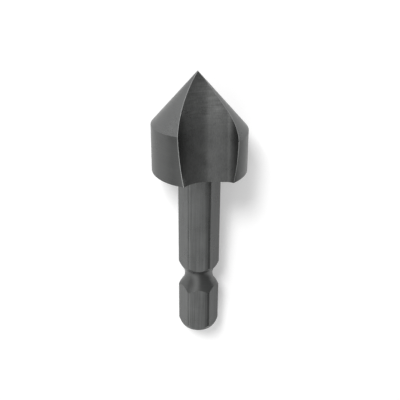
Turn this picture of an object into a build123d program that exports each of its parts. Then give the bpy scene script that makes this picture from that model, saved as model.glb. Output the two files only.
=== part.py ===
# Single-flute countersink bit on a quarter-inch hex shank.
# The bit lies on the bench as it comes to rest: flute up, nose to +Y, the edge of its shank end and
# the lower rim of its head on the ground.
import os
from math import atan, cos, hypot, radians, sin, tan

from build123d import *

# Hex shank, from its end face to the underside of the head
hex_across_flats = 6.35
hex_edge_radius = 0.6
shank_length = 31.2
end_face_diameter = 5.9
end_chamfer_angle = 30

# Detent groove that a quick-change chuck locks into
groove_to_end = 10.75
groove_floor_diameter = 4.94
groove_radius = 3.0
groove_flank_angle = 33

# Head: a cylinder under a cone. The point stands off the axis towards the cutting side, and the cone's
# rim falls away behind the cutting edge, so that only this edge touches the work
head_diameter = 15.88
head_length = 8.3
point_length = 8.35       # rise of the point above the outer corner of the cutting edge
point_offset = 0.38
relief_per_turn = 1.95
cutting_edge_angle = 243
relief_from_angle = -60
relief_to_angle = 260

# Flute: one trough milled on a slope through the point, shallow at the head's underside
flute_core = 5.38
flute_floor_width = 2.8
flute_floor_offset = 2.95
cutting_side_radius = 4.85
heel_side_radius = 1.8
flute_slope = 18.7
flute_skew = 0.5

# The end chamfer and the groove's flanks are turned faintly full, to this radius
turned_crown = 25

# The flute's side is the light one, so the bit lies rolled towards the other side, on the edge of a flat
resting_roll = 12

# Derived sizes
hex_radius = hex_across_flats / 2
turning_radius = 1.3 * hex_radius
flat_half_width = hex_radius * tan(radians(30)) - hex_edge_radius * tan(radians(30))
head_radius = head_diameter / 2
end_face_radius = end_face_diameter / 2
groove_floor_radius = groove_floor_diameter / 2
rim_height = shank_length + head_length
point_slope = point_length / head_radius
point_height = rim_height + point_length
swing = 2 * head_radius

# Resting pose: the end of a flat's edge touches at the chamfer, and the head touches at its rim
corner_height = (hypot(hex_radius, flat_half_width) - end_face_radius) / tan(radians(end_chamfer_angle))
corner_reach = hex_radius * cos(radians(resting_roll)) + flat_half_width * sin(radians(resting_roll))
lift = atan((head_radius - corner_reach) / (shank_length - corner_height))
rest_height = head_radius * cos(lift) - shank_length * sin(lift)
middle = (point_height * cos(lift) - end_face_radius * sin(lift)) / 2
nose_up = Plane(origin=(0, -middle, rest_height), x_dir=(1, 0, 0), z_dir=(0, cos(lift), sin(lift)))
tool = Plane(nose_up.location * Location((0, 0, 0), (0, 0, -resting_roll)))
tool_axis = Axis(tool.origin, tool.z_dir)
side = Plane(origin=tool.origin, x_dir=tool.x_dir, z_dir=tool.y_dir * -1)
nose_side = Plane(side.location * Location((-point_offset, 0, 0)))
nose_axis = Axis(nose_side.origin, tool.z_dir)

# Flute section, square to the cut: x across the bit, y outwards from the floor
flute_place = Location((flute_floor_offset, -flute_core, shank_length), (180 - flute_slope, flute_skew, 0))
flute = Plane(tool.location * flute_place)


def relief_helix(share):
    """Helix that every straight line of the relieved cone crosses at this share of its way to the rim."""
    rise = relief_per_turn * (relief_to_angle - relief_from_angle) / 360
    drop = relief_per_turn * (cutting_edge_angle - relief_from_angle) / 360
    foot = Vector(point_offset * (share - 1), 0, point_height - (point_height - rim_height + drop) * share)
    helix = Edge.make_helix(relief_per_turn * share, rise * share, head_radius * share)
    return tool.location * Location(foot, (0, 0, relief_from_angle)) * helix


with BuildPart() as countersink_bit:
    # Hex bar with softened edges
    with BuildSketch(tool) as hex_section:
        RegularPolygon(radius=hex_radius, side_count=6, major_radius=False)
        fillet(hex_section.vertices(), radius=hex_edge_radius)
    extrude(amount=shank_length)

    # Chamfered end
    with BuildSketch(side):
        with BuildLine():
            chamfer_top = (turning_radius - end_face_radius) / tan(radians(end_chamfer_angle))
            RadiusArc((end_face_radius, 0), (turning_radius, chamfer_top), radius=-turned_crown)
            Polyline((turning_radius, chamfer_top), (turning_radius, 0), (end_face_radius, 0))
        make_face()
    revolve(axis=tool_axis, mode=Mode.SUBTRACT)

    # Detent groove
    with BuildSketch(side):
        with BuildLine():
            floor = CenterArc(
                center=(groove_floor_radius + groove_radius, groove_to_end),
                radius=groove_radius,
                start_angle=180 - groove_flank_angle,
                arc_size=2 * groove_flank_angle,
            )
            flank_rise = (turning_radius - (floor @ 0).X) / tan(radians(groove_flank_angle))
            upper_end = floor @ 0 + (turning_radius - (floor @ 0).X, flank_rise)
            lower_end = floor @ 1 + (turning_radius - (floor @ 1).X, -flank_rise)
            upper = RadiusArc(floor @ 0, upper_end, radius=-turned_crown)
            lower = RadiusArc(floor @ 1, lower_end, radius=turned_crown)
            Line(upper @ 1, lower @ 1)
        make_face()
    revolve(axis=tool_axis, mode=Mode.SUBTRACT)

    # Head, then its nose turned to a plain cone about the point
    with BuildSketch(tool.offset(shank_length)):
        Circle(head_radius)
    extrude(amount=point_height - shank_length)
    with BuildSketch(nose_side):
        with BuildLine():
            cone_end = (swing, point_height - swing * point_slope)
            Polyline((0, point_height), cone_end, (swing, point_height), close=True)
        make_face()
    revolve(axis=nose_axis, mode=Mode.SUBTRACT)

    # Relief ground behind the cutting edge
    relief = Face.make_surface_from_curves(relief_helix(0.01), relief_helix(1.2))
    extrude(to_extrude=relief, amount=swing, dir=tool.z_dir, mode=Mode.SUBTRACT)

    # Flute
    with BuildSketch(flute):
        with BuildLine():
            half = flute_floor_width / 2
            cutting_side = CenterArc(
                center=(-half, cutting_side_radius),
                radius=cutting_side_radius,
                start_angle=180,
                arc_size=90,
            )
            heel_side = CenterArc(
                center=(half, heel_side_radius),
                radius=heel_side_radius,
                start_angle=270,
                arc_size=90,
            )
            Line(cutting_side @ 1, heel_side @ 0)
            Polyline(
                cutting_side @ 0,
                (-half - cutting_side_radius, swing),
                (half + heel_side_radius, swing),
                heel_side @ 1,
            )
        make_face()
    extrude(amount=2 * head_length + shank_length, both=True, mode=Mode.SUBTRACT)

countersink_bit.part.label = "countersink_bit"
os.makedirs("parts", exist_ok=True)
export_step(countersink_bit.part, "parts/countersink_bit.step")
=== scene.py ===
# %% [markdown]
# # A countersink bit on a hex shank
# The bit is one turned, milled and ground piece of dark tool steel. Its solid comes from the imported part,
# and this notebook gives it a softened rim, a steel finish, a bench, light and a camera.

from math import atan, cos, degrees, hypot, radians, sin, tan

import bmesh
import bpy
from mathutils import Matrix, Vector


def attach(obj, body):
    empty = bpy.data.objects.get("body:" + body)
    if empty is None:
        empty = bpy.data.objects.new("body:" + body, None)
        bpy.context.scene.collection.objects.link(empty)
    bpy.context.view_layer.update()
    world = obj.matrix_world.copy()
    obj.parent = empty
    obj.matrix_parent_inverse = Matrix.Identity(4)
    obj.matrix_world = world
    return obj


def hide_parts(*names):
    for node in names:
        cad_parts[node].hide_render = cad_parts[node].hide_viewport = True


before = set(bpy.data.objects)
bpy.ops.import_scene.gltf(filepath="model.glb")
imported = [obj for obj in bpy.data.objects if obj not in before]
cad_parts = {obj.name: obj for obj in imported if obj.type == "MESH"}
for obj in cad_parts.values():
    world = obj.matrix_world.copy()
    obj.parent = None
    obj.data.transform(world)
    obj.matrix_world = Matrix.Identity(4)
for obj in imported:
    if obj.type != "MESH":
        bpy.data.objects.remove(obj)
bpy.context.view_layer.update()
MM = 0.001

# %% [markdown]
# The bit lies tilted and a little rolled, so later steps need its own axes. Its head touches the bench at
# the rim and its shank at the end of one flat's edge, and that gives the tilt. `tool` turns the bit's own
# millimetres (x across, y along from the shank's end, z out through the flute) into scene coordinates.

# %% The bit's own axes
HEX_RADIUS = 3.175
HEX_EDGE = 0.6
SHANK_LENGTH = 31.2
HEAD_RADIUS = 7.94
POINT_HEIGHT = 47.85
END_RADIUS = 2.95
ROLL = radians(12)
half_flat = (HEX_RADIUS - HEX_EDGE) * tan(radians(30))
corner_height = (hypot(HEX_RADIUS, half_flat) - END_RADIUS) / tan(radians(30))
corner_reach = HEX_RADIUS * cos(ROLL) + half_flat * sin(ROLL)
lift = atan((HEAD_RADIUS - corner_reach) / (SHANK_LENGTH - corner_height))
foot = Vector(
    (
        0,
        -(POINT_HEIGHT * cos(lift) - END_RADIUS * sin(lift)) / 2,
        HEAD_RADIUS * cos(lift) - SHANK_LENGTH * sin(lift),
    )
)
turn = Matrix.Rotation(lift, 4, "X") @ Matrix.Rotation(-ROLL, 4, "Y")
tool = Matrix.Translation(foot * MM) @ turn @ Matrix.Scale(MM, 4)
into_tool = tool.inverted()
print("tilt, degrees:", round(degrees(lift), 2), " shank end at, mm:", [round(c, 2) for c in foot])

# %% [markdown]
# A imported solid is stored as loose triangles. The copy below welds their corners and dissolves the lines
# inside each flat, so that what is left between two faces is a real edge of the bit.

# %% Weld a copy of the solid
WELD = 0.0005 * MM
FLAT = radians(0.2)
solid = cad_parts["countersink_bit"]
bm = bmesh.new()
bm.from_mesh(solid.data)
loose = len(bm.verts)
bmesh.ops.remove_doubles(bm, verts=bm.verts, dist=WELD)
bmesh.ops.dissolve_limit(bm, angle_limit=FLAT, verts=bm.verts, edges=bm.edges)
bmesh.ops.recalc_face_normals(bm, faces=bm.faces)
opened = [e for e in bm.edges if not e.is_manifold]
print("corners:", loose, "->", len(bm.verts), " open edges:", len(opened))

# %% [markdown]
# Each surface was cut in its own way: the shank was drawn, the head, groove and end were turned, the nose
# was ground and the flute was milled. The direction that a face looks in tells them apart, because a ground
# face leans to the point, a drawn or turned side doesn't lean, and a flute face doesn't look straight out.

# %% Sort the faces by how they were cut
FINISHES = ("drawn", "turned", "ground", "milled", "soft")
NEAR = 0.01
NO_LEAN = 0.02
NOSE_LEAN = 0.5
UNDERSIDE_LEAN = -0.9
STRAIGHT_OUT = 0.985
RIM_DEPTH = 0.1
zone_layer = bm.faces.layers.int.new("zone")


def finish_of(face):
    """Name of the cut that made this face."""
    middle = into_tool @ face.calc_center_median()
    facing = (turn.to_3x3().inverted() @ face.normal).normalized()
    outwards = Vector((middle.x, 0, middle.z)).normalized()
    if middle.y < SHANK_LENGTH - NEAR:
        return "drawn" if abs(facing.y) < NO_LEAN else "turned"
    if facing.y > NOSE_LEAN:
        return "ground"
    on_side = hypot(middle.x, middle.z) > HEAD_RADIUS - RIM_DEPTH and facing.dot(outwards) > STRAIGHT_OUT
    return "turned" if on_side or facing.y < UNDERSIDE_LEAN else "milled"


for face in bm.faces:
    face[zone_layer] = FINISHES.index(finish_of(face))
counts = {name: sum(f[zone_layer] == i for f in bm.faces) for i, name in enumerate(FINISHES)}
print("faces by finish:", counts)

# %% [markdown]
# No cut edge is perfectly sharp, so the rim of the head's underside gets a narrow bevel. The shank's long
# edges are rounded in the solid already. The flute's edges stay sharp, as a cutter's do, and the material
# paints a highlight on them later on, in place of the light that a slightly rounded edge would catch.

# %% Soften the underside's rim
RIM_SOFTENING = 0.05 * MM
SHARP = radians(20)
MILLED, SOFT = FINISHES.index("milled"), FINISHES.index("soft")
rim = []
for edge in bm.edges:
    touched = [f[zone_layer] for v in edge.verts for f in v.link_faces]
    level = [abs((into_tool @ v.co).y - SHANK_LENGTH) < NEAR for v in edge.verts]
    if all(level) and MILLED not in touched and edge.calc_face_angle() > SHARP:
        rim.append(edge)
made = bmesh.ops.bevel(
    bm,
    geom=rim,
    offset=RIM_SOFTENING,
    offset_type="OFFSET",
    affect="EDGES",
    segments=1,
    profile=0.5,
    clamp_overlap=True,
    material=-1,
)
for face in made["faces"]:
    face[zone_layer] = SOFT
print("rim edges:", len(rim), " faces made:", len(made["faces"]))

# %% [markdown]
# Smooth shading hides the facets of round surfaces. It has to stop at each bevel, or the light would seem
# to bend over the flats beside it.

# %% Shade and show the body
for face in bm.faces:
    face.smooth = True
    face.material_index = face[zone_layer]
for e in bm.edges:
    zones = {f[zone_layer] for f in e.link_faces}
    e.smooth = (SOFT in zones) == (zones == {SOFT}) and e.calc_face_angle(0) < SHARP
body_mesh = bpy.data.meshes.new("countersink_body")
bm.to_mesh(body_mesh)
bm.free()
body = bpy.data.objects.new("countersink_body", body_mesh)
bpy.context.scene.collection.objects.link(body)
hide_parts("countersink_bit")
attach(body, "root")
print("faces shown:", len(body_mesh.polygons))


# %% [markdown]
# Materials are small node trees. `Tree` keeps their wiring short: `add` makes a node, sets its inputs and
# gives back its first output, `maths` and `vector` do sums, and `clamped` holds a value between 0 and 1.

# %% A helper for node trees
class Tree:
    """Adds nodes to a material and joins the sockets that are given as inputs."""

    def __init__(self, name):
        self.material = bpy.data.materials.new(name)
        self.material.use_nodes = True
        self.nodes = self.material.node_tree.nodes
        self.links = self.material.node_tree.links
        self.shader = self.nodes["Principled BSDF"]

    def join(self, value, socket):
        if isinstance(value, bpy.types.NodeSocket):
            self.links.new(value, socket)
        else:
            socket.default_value = value

    def add(self, kind, settings=None, **inputs):
        node = self.nodes.new("ShaderNode" + kind)
        for key, value in (settings or {}).items():
            setattr(node, key, value)
        for key, value in inputs.items():
            self.join(value, node.inputs[int(key[1:]) if key[1:].isdigit() else key])
        return node.outputs[0]

    def maths(self, operation, first, second=0.0, third=0.0):
        return self.add("Math", {"operation": operation}, i0=first, i1=second, i2=third)

    def clamped(self, value):
        return self.maths("MINIMUM", self.maths("MAXIMUM", value, 0.0), 1.0)

    def vector(self, operation, first, second=(0.0, 0.0, 0.0)):
        return self.add("VectorMath", {"operation": operation}, i0=first, i1=second)

    def number(self, operation, first, second=(0.0, 0.0, 0.0)):
        self.vector(operation, first, second)
        return self.nodes[-1].outputs["Value"]


# %% [markdown]
# The flute's edges get a painted highlight, which stands in for the light that their slight rounding
# catches. A material can't see an edge, so the helper below works out how far a point is from the flute's
# surface. The flute's section is a flat floor between two round sides, swept along a slope. Outside the
# flute, the points that lie close to that surface are the ones beside an edge.

# %% Painted highlight on the flute's edges
FLUTE_SLOPE = radians(18.7)
FLUTE_SKEW = radians(0.5)
FLOOR_PLACE = (2.95, SHANK_LENGTH, 5.38)
FLOOR_HALF = 1.4
SIDE_RADII = ((-1, 4.85), (1, 1.8))
HIGHLIGHT_FADE = 8.5


def painted_edge_highlight(tree, own):
    """Painted highlight: 1 at the flute's two edges and 0 about an eighth of a millimetre away."""
    from_floor = tree.vector("SUBTRACT", own, FLOOR_PLACE)
    lean = sin(FLUTE_SKEW)
    across_axis = (cos(FLUTE_SKEW), lean * cos(FLUTE_SLOPE), -lean * sin(FLUTE_SLOPE))
    across = tree.number("DOT_PRODUCT", from_floor, across_axis)
    out = tree.number("DOT_PRODUCT", from_floor, (0, sin(FLUTE_SLOPE), cos(FLUTE_SLOPE)))
    gaps = []
    for side, radius in SIDE_RADII:
        sideways = tree.maths("MAXIMUM", tree.maths("MULTIPLY_ADD", across, side, -FLOOR_HALF), 0.0)
        down = tree.maths("MAXIMUM", tree.maths("SUBTRACT", radius, out), 0.0)
        reach = tree.number("LENGTH", tree.add("CombineXYZ", X=sideways, Y=down))
        gaps.append(tree.maths("ABSOLUTE", tree.maths("SUBTRACT", reach, radius)))
    heel = tree.maths("GREATER_THAN", across, 0.0)
    gap = tree.maths("MULTIPLY_ADD", heel, tree.maths("SUBTRACT", gaps[1], gaps[0]), gaps[0])
    return tree.maths("MAXIMUM", tree.maths("MULTIPLY_ADD", gap, -HIGHLIGHT_FADE, 1.0), 0.0)


# %% [markdown]
# Four more changes of level are laid over the steel's colour, each by its place in the bit's own
# millimetres. The shank and the flute get painted shade on their right side. A painted dark reflection runs
# on the shank beside one rounded edge and widens the dark band that the edge mirrors. The flute is lighter
# and faintly rippled near the point, and the shank is darker in its last 0.6 mm. Each helper gives a factor
# for the colour, so that they can be laid over each other in any number.

# %% Painted shade, painted reflection and other levels by place
SIDE_FADE = 0.4
SIDE_DEPTH = 0.35
LINE_FADE = 2.9
LINE_DEPTH = 0.30
TIP_START = 38.0
TIP_SPAN = 4.0
RIPPLE_STRETCH = (0.5, 5.0, 0.5)
RIPPLE_DEPTH = 0.8
END_LEVEL = 0.4


def painted_side_shade(tree, across, start):
    """Painted shade: falls from 1 at `start` towards the right of the bit."""
    depth = tree.clamped(tree.maths("MULTIPLY_ADD", across, SIDE_FADE, -SIDE_FADE * start))
    return tree.maths("MULTIPLY_ADD", depth, -SIDE_DEPTH, 1.0)


def painted_dark_reflection(tree, across, middle):
    """Painted dark reflection: dips below 1 at `middle`, over about a third of a millimetre to either side.
    """
    aside = tree.maths("ABSOLUTE", tree.maths("SUBTRACT", across, middle))
    line = tree.maths("MAXIMUM", tree.maths("MULTIPLY_ADD", aside, -LINE_FADE, 1.0), 0.0)
    return tree.maths("MULTIPLY_ADD", line, -LINE_DEPTH, 1.0)


def lighter_tip(tree, own, along, light):
    """Rises above 1 towards the point, with ripples across the flute."""
    nearness = tree.clamped(tree.maths("DIVIDE", tree.maths("SUBTRACT", along, TIP_START), TIP_SPAN))
    ripple_at = tree.vector("MULTIPLY", own, RIPPLE_STRETCH)
    ripple = tree.maths("SUBTRACT", tree.add("TexNoise", Vector=ripple_at, Scale=1.0, Detail=1.0), 0.5)
    lift_by = tree.maths("MULTIPLY", nearness, tree.maths("MULTIPLY_ADD", ripple, RIPPLE_DEPTH, light))
    return tree.maths("ADD", lift_by, 1.0)


def darker_end(tree, along):
    """Below 1 in the last 0.6 mm of the shank."""
    return tree.maths("MINIMUM", tree.maths("ADD", along, END_LEVEL), 1.0)


# %% [markdown]
# All the finishes share one dark steel and differ in their marks. Drawing leaves lines along the shank,
# milling leaves lines along the flute, and turning and grinding leave rings. A noise pattern that is
# stretched in one direction makes lines, and one that mostly reads the height along the bit makes rings.

# %% How a steel finish is made
METAL = 0.83
ROUGHNESS_SPREAD = 0.25
SPECKS = 0.18
MARK_HEIGHT = 0.01 * MM
MARK_STRENGTH = 0.15


def varied(tree, noise, amount):
    """A factor around 1 that follows a noise pattern."""
    return tree.maths("MULTIPLY_ADD", tree.maths("SUBTRACT", noise, 0.5), amount, 1.0)


def steel_finish(
    name,
    tone,
    stretch,
    contrast,
    blotches=0.20,
    roughness=0.30,
    side_shade_from=None,
    reflection_line_at=None,
    tip_light=None,
    end_darker=False,
    edge_highlight=None,
):
    """Dark steel with fine marks. `stretch` is how densely the marks change across, along and out."""
    tree = Tree(name)
    tree.add("TexCoord")
    place = tree.nodes[-1].outputs["Object"]
    own = tree.add("Mapping", {"vector_type": "TEXTURE"}, Vector=place)
    for socket, value in (("Location", foot * MM), ("Rotation", turn.to_euler()), ("Scale", (MM, MM, MM))):
        tree.nodes[-1].inputs[socket].default_value = value
    lines_at = tree.vector("MULTIPLY", own, stretch)
    lines = tree.add("TexNoise", Vector=lines_at, Scale=1.0, Detail=3.0, Roughness=0.6)
    cloud = tree.add("TexNoise", Vector=own, Scale=0.35, Detail=4.0, Roughness=0.65)
    grain = tree.add("TexNoise", Vector=own, Scale=9.0, Detail=2.0, Roughness=0.7)
    level = tree.maths("MULTIPLY", varied(tree, lines, contrast), varied(tree, cloud, blotches))
    level = tree.maths("MULTIPLY", level, varied(tree, grain, SPECKS))
    tree.add("SeparateXYZ", i0=own)
    across, along = tree.nodes[-1].outputs["X"], tree.nodes[-1].outputs["Y"]
    # painted shade on the right side
    if side_shade_from is not None:
        level = tree.maths("MULTIPLY", level, painted_side_shade(tree, across, side_shade_from))
    # painted dark reflection beside one rounded edge of the shank
    if reflection_line_at is not None:
        level = tree.maths("MULTIPLY", level, painted_dark_reflection(tree, across, reflection_line_at))
    if tip_light is not None:
        level = tree.maths("MULTIPLY", level, lighter_tip(tree, own, along, tip_light))
    # the last 0.6 mm of the shank's end is darker
    if end_darker:
        level = tree.maths("MULTIPLY", level, darker_end(tree, along))
    # painted highlight on the flute's edges, speckled by the grain
    if edge_highlight is not None:
        painted_highlight = tree.maths("MULTIPLY", painted_edge_highlight(tree, own), tree.maths("MULTIPLY", grain, 2.0))
        level = tree.maths("MULTIPLY_ADD", painted_highlight, edge_highlight, level)
    colour = tree.add("VectorMath", {"operation": "SCALE"}, i0=tone, Scale=level)
    tree.join(colour, tree.shader.inputs["Base Color"])
    tree.join(METAL, tree.shader.inputs["Metallic"])
    rough = tree.maths("MULTIPLY_ADD", tree.maths("SUBTRACT", cloud, 0.5), ROUGHNESS_SPREAD, roughness)
    tree.join(rough, tree.shader.inputs["Roughness"])
    bumps = tree.add("Bump", Strength=MARK_STRENGTH, Distance=MARK_HEIGHT, Height=lines)
    tree.join(bumps, tree.shader.inputs["Normal"])
    return tree.material


# %% [markdown]
# The ground nose is the lightest, because grinding takes off some of the dark skin. The turned and ground
# faces meet the flute, so they carry the painted highlight of its edges. The drawn shank has the plainest
# lines and gets painted shade on its right side and a painted dark reflection line, and the flute has the
# strongest blotches and painted shade on its right side.

# %% The five finishes
BAR = (0.167, 0.171, 0.169)
finishes = {
    "drawn": steel_finish(
        "drawn_steel",
        BAR,
        stretch=(9.0, 0.12, 9.0),
        contrast=1.0,
        blotches=0.52,
        # painted shade on the right side and a painted dark reflection line beside one rounded edge
        side_shade_from=0.6,
        reflection_line_at=1.35,
    ),
    "turned": steel_finish(
        "turned_steel",
        (0.141, 0.144, 0.142),
        stretch=(0.3, 14.0, 0.3),
        contrast=0.3,
        roughness=0.32,
        end_darker=True,
        # painted highlight on the flute's edges
        edge_highlight=4.0,
    ),
    "ground": steel_finish(
        "ground_steel",
        (0.180, 0.183, 0.182),
        stretch=(0.4, 16.0, 0.4),
        contrast=0.25,
        # painted highlight on the flute's edges
        edge_highlight=1.6,
    ),
    "milled": steel_finish(
        "milled_steel",
        (0.142, 0.145, 0.143),
        stretch=(8.0, 0.2, 8.0),
        contrast=0.7,
        blotches=0.84,
        # painted shade on the flute's right side
        side_shade_from=2.6,
        tip_light=0.38,
    ),
    "soft": steel_finish("softened_edge_steel", BAR, stretch=(3.0, 3.0, 3.0), contrast=0.3),
}
for name in FINISHES:
    body.data.materials.append(finishes[name])
print("finishes:", len(body.data.materials))

# %% [markdown]
# The bench is a white sheet. The camera alone sees it a little lifted, so that it is white up to the edge
# of the soft shadow, and the shadow stays.

# %% The bench
BENCH_REACH = 1.5
BENCH_TONE = 0.70
BENCH_LIFT = 0.36
BENCH_ROUGHNESS = 0.9
bench_bm = bmesh.new()
bmesh.ops.create_grid(bench_bm, x_segments=1, y_segments=1, size=BENCH_REACH)
bench_mesh = bpy.data.meshes.new("bench")
bench_bm.to_mesh(bench_mesh)
bench_bm.free()
bench = bpy.data.objects.new("bench", bench_mesh)
bpy.context.scene.collection.objects.link(bench)
paper = Tree("white_bench")
paper.join((BENCH_TONE, BENCH_TONE, BENCH_TONE, 1), paper.shader.inputs["Base Color"])
paper.join(BENCH_ROUGHNESS, paper.shader.inputs["Roughness"])
paper.shader.inputs["Specular IOR Level"].default_value = 0.0
paper.add("LightPath")
rays = paper.nodes[-1].outputs
paper.join((1, 1, 1, 1), paper.shader.inputs["Emission Color"])
lifted = paper.maths("MULTIPLY", rays["Is Camera Ray"], BENCH_LIFT)
paper.join(lifted, paper.shader.inputs["Emission Strength"])
bench.data.materials.append(paper.material)
print("bench, m across:", 2 * BENCH_REACH)

# %% [markdown]
# Polished metal shows the room around it. The room here is pale on the left and dark on the right, which
# gives the flute its dark wall and the shank its dark right edge. Only the camera sees it as plain white.

# %% The room
WALLS = ((0.0, 0.32), (0.28, 1.08), (0.55, 0.20), (1.0, 0.18))
world = bpy.data.worlds.new("pale_room")
bpy.context.scene.world = world
world.use_nodes = True
w_nodes, w_links = world.node_tree.nodes, world.node_tree.links
w_place = w_nodes.new("ShaderNodeTexCoord")
w_split = w_nodes.new("ShaderNodeSeparateXYZ")
w_share = w_nodes.new("ShaderNodeMapRange")
w_ramp = w_nodes.new("ShaderNodeValToRGB")
w_ramp.color_ramp.interpolation = "EASE"
w_links.new(w_place.outputs["Generated"], w_split.inputs[0])
w_links.new(w_split.outputs["X"], w_share.inputs["Value"])
w_share.inputs["From Min"].default_value = -1.0
w_links.new(w_share.outputs["Result"], w_ramp.inputs["Fac"])
stops = w_ramp.color_ramp.elements
for where, level in WALLS[1:-1]:
    stops.new(where)
for stop, (where, level) in zip(stops, WALLS):
    stop.position = where
    stop.color = (level, level, level, 1)
w_seen = w_nodes.new("ShaderNodeLightPath")
w_level = w_nodes.new("ShaderNodeMath")
w_level.operation = "MAXIMUM"
w_links.new(w_ramp.outputs["Color"], w_level.inputs[0])
w_links.new(w_seen.outputs["Is Camera Ray"], w_level.inputs[1])
w_links.new(w_level.outputs[0], w_nodes["Background"].inputs["Strength"])
w_nodes["Background"].inputs["Color"].default_value = (1, 1, 1, 1)
print("room levels, left to right:", [level for where, level in WALLS])


# %% [markdown]
# A lamp high on the left, beyond the point, casts the soft shadow. It is hidden from reflections, because a
# lamp mirrored in the flute would look like a white stripe.

# %% The lamp
def lamp(name, place, size, power):
    """A square studio lamp at `place`, in metres, that looks at the bit and isn't mirrored in it."""
    data = bpy.data.lights.new(name, "AREA")
    data.size = size
    data.energy = power
    made = bpy.data.objects.new(name, data)
    made.location = place
    made.rotation_euler = (-Vector(place)).to_track_quat("-Z", "Y").to_euler()
    made.visible_glossy = False
    bpy.context.scene.collection.objects.link(made)
    return made


key_lamp = lamp("key_lamp", place=(-0.21, 0.35, 0.45), size=0.15, power=3.0)
print("lamp, m from the bit:", round(key_lamp.location.length, 2))

# %% [markdown]
# The camera looks down on the bit from above its nose, through a lens of about 60 mm.

# %% Camera
EYE = Vector((0.13, 77.90, 104.03))
LOOK_DOWN = radians(26.85)
TWIST = radians(0.44)
LENS = 61.54
SENSOR = 36
NEAREST = 0.005
ahead = Vector((0, -sin(LOOK_DOWN), -cos(LOOK_DOWN)))
over = Vector((0, cos(LOOK_DOWN), -sin(LOOK_DOWN)))
right = Vector((1, 0, 0)) * cos(TWIST) + over * sin(TWIST)
over = over * cos(TWIST) - Vector((1, 0, 0)) * sin(TWIST)
camera = bpy.data.objects.new("camera", bpy.data.cameras.new("camera"))
camera.data.lens = LENS
camera.data.sensor_width = SENSOR
camera.data.clip_start = NEAREST
facing = turn.to_3x3() @ Matrix((right, over, -ahead)).transposed()
camera.matrix_world = Matrix.Translation(tool @ EYE) @ facing.to_4x4()
bpy.context.scene.collection.objects.link(camera)
bpy.context.scene.camera = camera
bpy.context.scene.view_settings.view_transform = "Standard"
print("camera at, mm:", [round(c / MM, 1) for c in camera.location])
